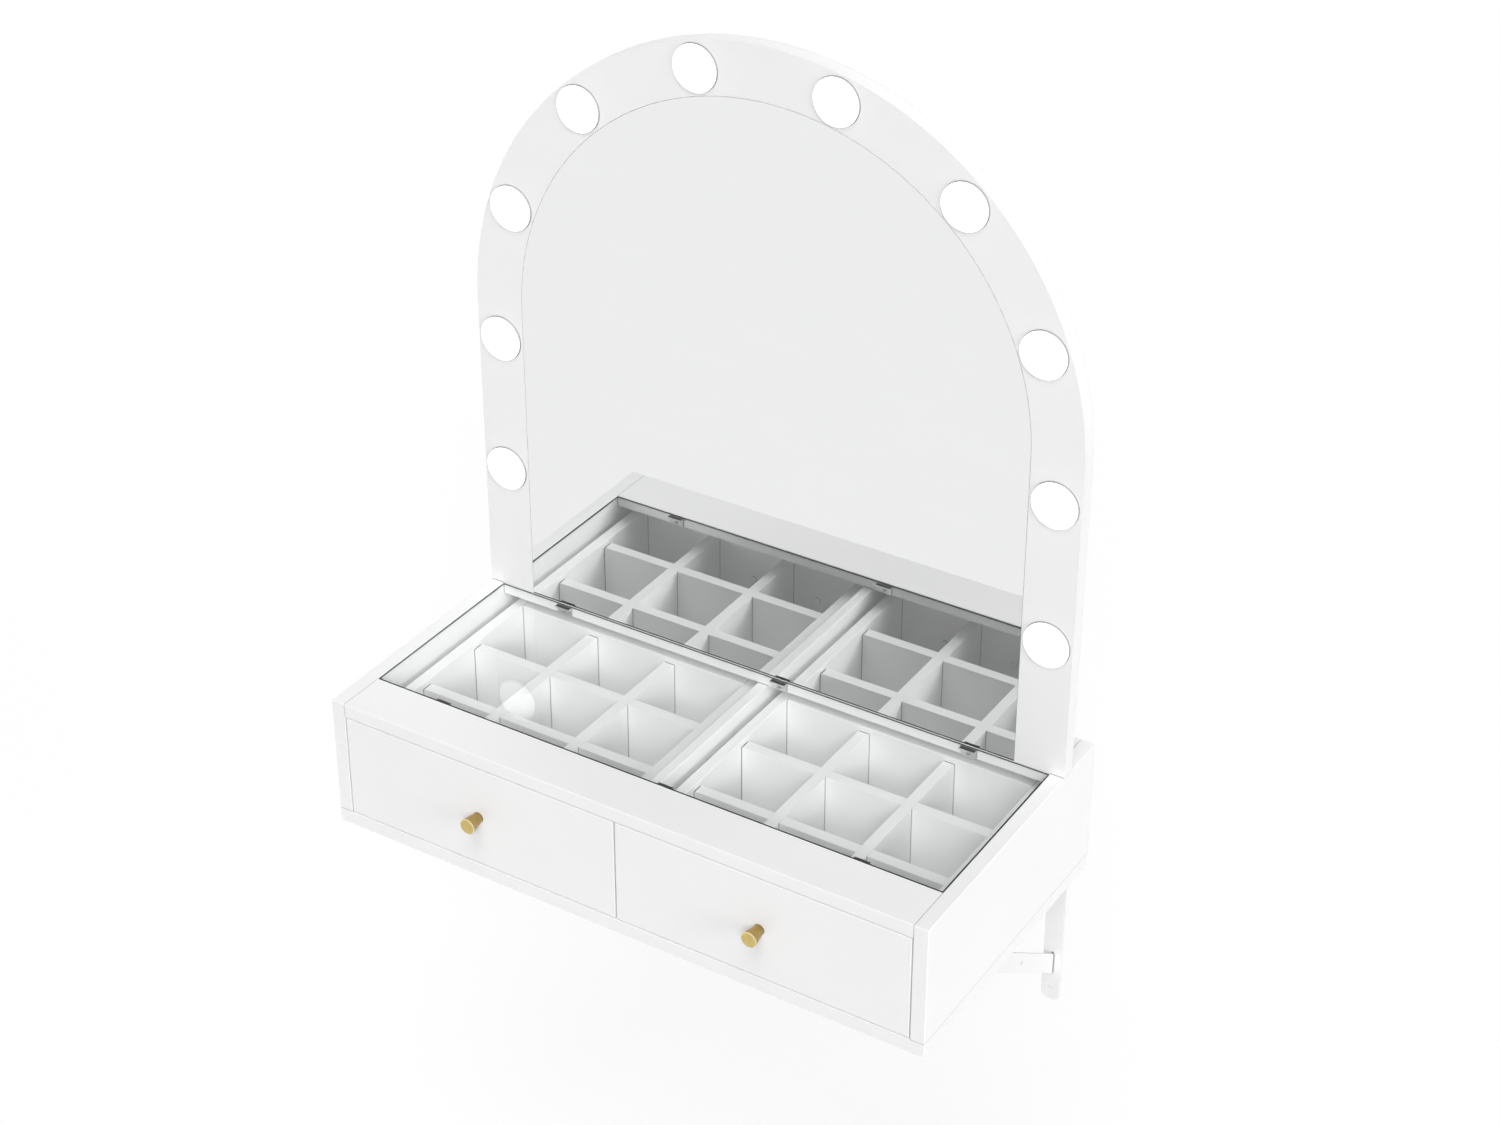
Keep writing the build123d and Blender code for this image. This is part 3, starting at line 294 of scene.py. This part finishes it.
def metal(name, first, second, low, high, stretch=(1, 1, 1), fine=700.0, depth=0.08):
    r = new_recipe(name)
    place = r.place(scale=stretch)
    cloud = r.noise(45.0, 4.0, 0.6, place)
    rounded = r.soft_edge(0.0003)
    edge = r.edge_mask(rounded)
    base = r.tint(r.spread(cloud, 0.0, 1.0), first, second)
    # Sharp edges painted up to 1.3 times lighter: a painted highlight.
    colour = r.tint(r.math("MULTIPLY", edge, 0.35), base, tuple(min(1.0, c * 1.3) for c in first))
    normal = r.bump(r.noise(fine, 3.0, 0.5, place), depth, 0.0001, rounded)
    return r.finish(r.principled(
        Base_Color=colour, Metallic=1.0, Roughness=r.spread(cloud, low, high), Normal=normal,
    ))


CHAMFER_LEAN = 0.45
FACED_END = 0.90


def brass():
    """Turned brass with painted light: sides painted darker as painted shade, the faced end painted
    paler, and a painted highlight on the chamfer between them.
    """
    r = new_recipe("brass")
    spot = r.place("Generated", shift=(-0.5, 0.0, -0.5))
    parts = r.add("SeparateXYZ", {"Vector": spot})
    wobble = r.math("MULTIPLY", r.noise(90.0, 3.0), 0.012)
    rings = r.math("SINE", r.math("MULTIPLY", r.math("ADD", r.from_axis(parts), wobble), 420.0))
    turned = r.math("SINE", r.math("MULTIPLY", r.math("ADD", parts.outputs["Y"], wobble), 300.0))
    lines = r.math("ADD", rings, turned)
    rounded = r.soft_edge(0.0005)
    edge = r.edge_mask(rounded)
    cloud = r.noise(120.0, 4.0, 0.6)
    toward_room = r.math("MULTIPLY", r.facing("Y"), -1.0)
    # Painted light: the sides painted darker and the faced end paler, by which way each faces.
    side_shade_tone = r.tint(r.spread(cloud, 0.0, 1.0), (0.51, 0.355, 0.130), (0.44, 0.300, 0.105))
    end_light_tone = r.tint(r.spread(cloud, 0.0, 1.0), (0.68, 0.530, 0.205), (0.60, 0.465, 0.170))
    base = r.tint(r.spread(toward_room, 0.0, 1.0, 0.80, FACED_END), side_shade_tone, end_light_tone)
    # Painted highlight on the chamfer and, at half strength, on sharp edges.
    leaning = r.math("GREATER_THAN", toward_room, CHAMFER_LEAN)
    chamfer = r.math("MULTIPLY", leaning, r.math("LESS_THAN", toward_room, FACED_END))
    painted_highlight = r.math("MAXIMUM", chamfer, r.math("MULTIPLY", edge, 0.5))
    colour = r.tint(painted_highlight, base, (0.86, 0.74, 0.42))
    normal = r.bump(lines, 0.06, 0.0001, rounded)
    return r.finish(r.principled(
        Base_Color=colour, Metallic=1.0, Roughness=r.spread(cloud, 0.30, 0.42), Normal=normal,
        Anisotropic=0.4,
    ))


def beech():
    r = new_recipe("beech")
    place = r.place(scale=(18.0, 2.0, 18.0))
    rays = r.noise(22.0, 5.0, 0.6, place, 0.5)
    base = r.tint(r.spread(rays, 0.0, 1.0), (0.58, 0.39, 0.22), (0.44, 0.27, 0.14))
    return r.finish(r.principled(
        Base_Color=base, Roughness=r.spread(rays, 0.5, 0.7), Normal=r.bump(rays, 0.3, 0.0002),
    ))


def led_board():
    r = new_recipe("led_board")
    base = r.tint(r.spread(r.noise(80.0), 0.0, 1.0), (0.80, 0.80, 0.75), (0.74, 0.74, 0.69))
    mask = r.noise(1500.0, 2.0)
    return r.finish(r.principled(
        Base_Color=base, Roughness=r.spread(mask, 0.3, 0.45), Coat_Weight=0.3,
        Normal=r.bump(mask, 0.1, 0.0001, r.soft_edge(0.0003)),
    ))


def driver_plastic():
    r = new_recipe("driver_plastic")
    base = r.tint(r.spread(r.noise(25.0, 4.0), 0.0, 1.0), (0.80, 0.80, 0.79), (0.76, 0.76, 0.75))
    rounded = r.soft_edge(0.0012)
    spark = r.noise(2200.0, 2.0, 0.6)
    scuffed = r.math("MULTIPLY", r.edge_mask(rounded), 0.4)
    colour = r.tint(scuffed, base, (0.86, 0.86, 0.85))
    return r.finish(r.principled(
        Base_Color=colour, Roughness=r.spread(r.noise(180.0), 0.42, 0.56),
        Normal=r.bump(spark, 0.25, 0.0001, rounded),
    ))


FINISHES = {
    "white_lacquer": white_lacquer(),
    "white_steel": white_steel(),
    "clear_glass": clear_glass(),
    "mirror_silver": mirror_silver(),
    "opal_lens": opal_lens(),
    "clip_steel": metal("clip_steel", (0.80, 0.80, 0.81), (0.70, 0.70, 0.71), 0.28, 0.40),
    "zinc_steel": metal(
        "zinc_steel", (0.60, 0.60, 0.61), (0.50, 0.51, 0.53), 0.30, 0.45, fine=420.0, depth=0.12,
    ),
    "slide_steel": metal("slide_steel", (0.66, 0.67, 0.68), (0.56, 0.57, 0.58), 0.28, 0.42, (9, 0.7, 9)),
    "brass": brass(),
    "beech": beech(),
    "led_board": led_board(),
    "driver_plastic": driver_plastic(),
}

for name, node in nodes.items():
    node.data.materials.clear()
    node.data.materials.append(FINISHES[slot_of[name]])


# Screws, turned and with a driver recess drawn as a near-black cross of painted shade, or a cap, in place
# of the flat-sided ones

RECESS_UNDER = 0.00002
CROWN_UNDER = 0.00004
# Near-black finish of the recess cross: painted shade for the hollow.
RECESS_SHADE_FINISH = metal("recess_shade", (0.10, 0.10, 0.105), (0.05, 0.05, 0.055), 0.4, 0.6)
CAP_SKIRT = 0.0002
CAP_RISE = 0.0003


def islands(node):
    """Points of each separate solid of a CAD node."""
    solid = bmesh.new()
    solid.from_mesh(node.data)
    bmesh.ops.remove_doubles(solid, verts=solid.verts, dist=1e-6)
    left = set(solid.verts)
    groups = []
    while left:
        front = [left.pop()]
        group = []
        while front:
            vert = front.pop()
            group.append(vert.co.copy())
            for edge in vert.link_edges:
                other = edge.other_vert(vert)
                if other in left:
                    left.discard(other)
                    front.append(other)
        groups.append(group)
    solid.free()
    return groups


def screw_measures(points):
    """Tip, direction from head to tip, and (distance from the tip, radius) of each step of the screw."""
    low = Vector([min(p[a] for p in points) for a in range(3)])
    high = Vector([max(p[a] for p in points) for a in range(3)])
    size = high - low
    axis = max(range(3), key=lambda a: size[a])
    middle = (low + high) / 2
    others = [a for a in range(3) if a != axis]
    levels = {}
    for p in points:
        wide = max(abs(p[a] - middle[a]) for a in others)
        level = round(p[axis], 5)
        levels[level] = max(levels.get(level, 0.0), wide)
    ordered = sorted(levels.items())
    head_first = ordered[0][1] > ordered[-1][1]
    tip = middle.copy()
    tip[axis] = high[axis] if head_first else low[axis]
    along = Vector((0.0, 0.0, 0.0))
    along[axis] = 1.0 if head_first else -1.0
    steps = [(abs(level - tip[axis]), wide) for level, wide in ordered]
    return tip, along, sorted(steps)


def lathe(mesh, tip, along, profile, turns=32):
    """Adds a turned body to the mesh: (distance back from the tip, radius) pairs."""
    spin = along.to_track_quat("Z", "Y").to_matrix()
    rings = []
    for back, radius in profile:
        ring = []
        for n in range(turns):
            angle = 2 * math.pi * n / turns
            local = Vector((radius * math.cos(angle), radius * math.sin(angle), -back))
            ring.append(mesh.verts.new(tip + spin @ local))
        rings.append(ring)
    for first, second in zip(rings, rings[1:]):
        for n in range(turns):
            m = (n + 1) % turns
            mesh.faces.new((first[n], first[m], second[m], second[n])).smooth = True
    mesh.faces.new(list(reversed(rings[0])))
    mesh.faces.new(rings[-1])


def cross_recess(mesh, tip, along, back, arm, depth):
    """Adds a tapered cross that stands for the driver recess, just under the head's crown; it is finished
    near black as painted shade.
    """
    spin = along.to_track_quat("Z", "Y").to_matrix()
    half = arm * 0.24
    outline = [
        (arm, half), (half, half), (half, arm), (-half, arm), (-half, half), (-arm, half),
        (-arm, -half), (-half, -half), (-half, -arm), (half, -arm), (half, -half), (arm, -half),
    ]
    top = [mesh.verts.new(tip + spin @ Vector((x, y, -back))) for x, y in outline]
    low = [mesh.verts.new(tip + spin @ Vector((x * 0.5, y * 0.5, depth - back))) for x, y in outline]
    mesh.faces.new(top)
    mesh.faces.new(list(reversed(low)))
    for n in range(len(outline)):
        m = (n + 1) % len(outline)
        mesh.faces.new((top[m], top[n], low[n], low[m]))


def finished_piece(name, mesh, finish, body):
    data = bpy.data.meshes.new(name)
    bmesh.ops.recalc_face_normals(mesh, faces=mesh.faces)
    mesh.to_mesh(data)
    mesh.free()
    data.materials.append(finish)
    piece = bpy.data.objects.new(name, data)
    bpy.context.scene.collection.objects.link(piece)
    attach(piece, body)
    return piece


def screw_profile(steps):
    """Turned profile of a screw: tapered tip, threaded shank, neck and flat or rounded head."""
    length = steps[-1][0]
    shank_radius = steps[0][1]
    head_radius = steps[-1][1]
    pan = steps[-2][1] >= head_radius * 0.98
    under_head = steps[-2][0]
    profile = [(0.0, shank_radius * 0.25), (shank_radius * 1.6, shank_radius * 0.8)]
    pitch = shank_radius * 0.9
    at = shank_radius * 1.6
    while at + 2 * pitch < under_head:
        profile += [(at + pitch * 0.5, shank_radius * 0.98), (at + pitch, shank_radius * 0.74)]
        at += pitch
    profile.append((under_head, shank_radius * 0.8))
    if not pan:
        return profile + [(length - CROWN_UNDER, head_radius)]
    rise = length - under_head
    profile.append((under_head, head_radius))
    profile.append((under_head + rise * 0.35, head_radius))
    for share in (0.35, 0.7, 0.93):
        turn = share * math.pi / 2
        out = head_radius * (0.45 + 0.55 * math.cos(turn))
        profile.append((under_head + rise * (0.35 + 0.65 * math.sin(turn)), out))
    return profile + [(length - CROWN_UNDER, head_radius * 0.4)]


def dressed_screws(name):
    """Turned screws for a node of them; drawer screws driven towards the front get a white cap."""
    body = next(b for b in frame["bodies"] if name in frame["record"]["behaviour"]["bodies"][b])
    turned = bmesh.new()
    recess = bmesh.new()
    capped = bmesh.new()
    for points in islands(nodes[name]):
        tip, along, steps = screw_measures(points)
        length, head_radius = steps[-1]
        lathe(turned, tip, along, screw_profile(steps))
        if along.y < -0.5 and name.startswith("drawer"):
            crown = [(length - CAP_SKIRT, head_radius * 0.9), (length, head_radius * 1.02)]
            lathe(capped, tip, along, crown + [(length + CAP_RISE, head_radius * 0.8)])
        else:
            cross_recess(recess, tip, along, length - RECESS_UNDER, head_radius * 0.42, head_radius * 0.3)
    piece = finished_piece(name + "_turned", turned, FINISHES[slot_of[name]], body)
    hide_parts(name)
    if len(capped.verts) > 0:
        cap = finished_piece(name + "_caps", capped, FINISHES["white_lacquer"], body)
        cap.parent = piece
    mark = finished_piece(name + "_recess", recess, RECESS_SHADE_FINISH, body)
    mark.parent = piece


for screws in sorted(n for n in nodes if slot_of[n] == "zinc_steel"):
    dressed_screws(screws)


# Studio

FLOOR_Z = -0.50
FLOOR_HALF = 9.0
FLOOR_LIFT = 0.82
WORLD_LIGHT = 0.2
LENS_LAMP_AWAY = 0.014
LENS_LAMP_SIZE = 0.03
LENS_LAMP_POWER = 0.0016


def studio_floor():
    """Pale floor that keeps a soft shadow; to the eye and in reflections it is lifted to white."""
    corners = [(x * FLOOR_HALF, y * FLOOR_HALF, FLOOR_Z) for x, y in ((-1, -1), (1, -1), (1, 1), (-1, 1))]
    mesh = bpy.data.meshes.new("studio_floor")
    mesh.from_pydata(corners, [], [(0, 1, 2, 3)])
    floor = bpy.data.objects.new("studio_floor", mesh)
    bpy.context.scene.collection.objects.link(floor)
    r = new_recipe("studio_floor")
    pale = r.add("BsdfDiffuse", {"Color": (0.60, 0.60, 0.60, 1.0)})
    faint = r.add("BsdfDiffuse", {"Color": (0.20, 0.20, 0.20, 1.0)})
    lift = r.add("Emission", {"Color": (1.0, 1.0, 1.0, 1.0), "Strength": FLOOR_LIFT})
    lifted = r.add("AddShader")
    r.feed(lifted.inputs[0], faint)
    r.feed(lifted.inputs[1], lift)
    mesh.materials.append(r.finish(r.mix(r.seen_directly(), pale, lifted)))


def studio_world():
    """White to the eye and in reflections, and a weak even light."""
    r = Recipe(bpy.data.worlds.new("studio"), "OutputWorld")
    plain = r.add("Background", {"Color": (1.0, 1.0, 1.0, 1.0), "Strength": WORLD_LIGHT})
    white = r.add("Background", {"Color": (1.0, 1.0, 1.0, 1.0), "Strength": 1.0})
    bpy.context.scene.world = r.finish(r.mix(r.seen_directly(), plain, white))


def soft_lamp(name, spot, target, size, power, lights):
    """A round soft lamp that only lights the pieces in lights."""
    data = bpy.data.lights.new(name, "AREA")
    data.shape = "DISK"
    data.size = size
    data.energy = power
    lamp = bpy.data.objects.new(name, data)
    bpy.context.scene.collection.objects.link(lamp)
    lamp.location = spot
    lamp.rotation_euler = (Vector(target) - Vector(spot)).to_track_quat("-Z", "Y").to_euler()
    lamp.visible_camera = False
    lamp.visible_glossy = False
    lamp.visible_transmission = False
    lamp.light_linking.receiver_collection = lights


def soft_sun(name, toward, strength, width, lights=None):
    """Even light from one side, as wide as a large softbox: width is its angle in degrees."""
    data = bpy.data.lights.new(name, "SUN")
    data.angle = math.radians(width)
    data.energy = strength
    lamp = bpy.data.objects.new(name, data)
    bpy.context.scene.collection.objects.link(lamp)
    lamp.rotation_euler = (-Vector(toward)).to_track_quat("-Z", "Y").to_euler()
    lamp.visible_glossy = False
    lamp.visible_transmission = False
    if lights is not None:
        lamp.light_linking.receiver_collection = lights


def lit_group(name, pieces):
    """Pieces that a lamp lights, and no others."""
    group = bpy.data.collections.new(name)
    for piece in pieces:
        group.objects.link(piece)
    return group


def lens_lamps(lights):
    """A weak lamp in front of each lens, for the light that the lens throws on the border."""
    for name in sorted(n for n in nodes if slot_of[n] == "opal_lens"):
        low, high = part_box(name)
        centre = (low + high) / 2
        spot = Vector((centre.x, low.y - LENS_LAMP_AWAY, centre.z))
        soft_lamp(name + "_lamp", spot, centre, LENS_LAMP_SIZE, LENS_LAMP_POWER, lights)


vanity_only = lit_group("vanity_only", [o for o in bpy.context.scene.objects if o.type == "MESH"])
border_only = lit_group("border_only", [nodes["mirror_border"]])
studio_floor()
studio_world()
soft_sun("key", (2.6, -4.4, 3.2), 1.75, 28.0)
soft_sun("high", (0.6, -1.6, 4.0), 1.05, 32.0)
soft_sun("side", (5.0, -1.0, 1.4), 1.37, 28.0)
soft_sun("behind", (-2.5, 3.5, 0.4), 1.5, 28.0, vanity_only)
lens_lamps(border_only)


# Camera, fitted to the photograph's edges

CAMERA_PLACE = (1.487204, -2.495321, 2.202776)
CAMERA_TURN = 0.55737423
CAMERA_DOWN = 0.51106136
CAMERA_ROLL = 0.00113723

camera_data = bpy.data.cameras.new("photo_camera")
camera = bpy.data.objects.new("photo_camera", camera_data)
bpy.context.scene.collection.objects.link(camera)
camera_data.sensor_width = 36.0
camera_data.lens = 68.6465
camera_data.shift_y = -0.085
camera_data.clip_end = 60.0
camera.matrix_world = (
    Matrix.Translation(CAMERA_PLACE)
    @ Matrix.Rotation(CAMERA_TURN, 4, "Z")
    @ Matrix.Rotation(math.pi / 2 - CAMERA_DOWN, 4, "X")
    @ Matrix.Rotation(CAMERA_ROLL, 4, "Z")
)
bpy.context.scene.camera = camera

bpy.context.scene.view_settings.view_transform = "Standard"
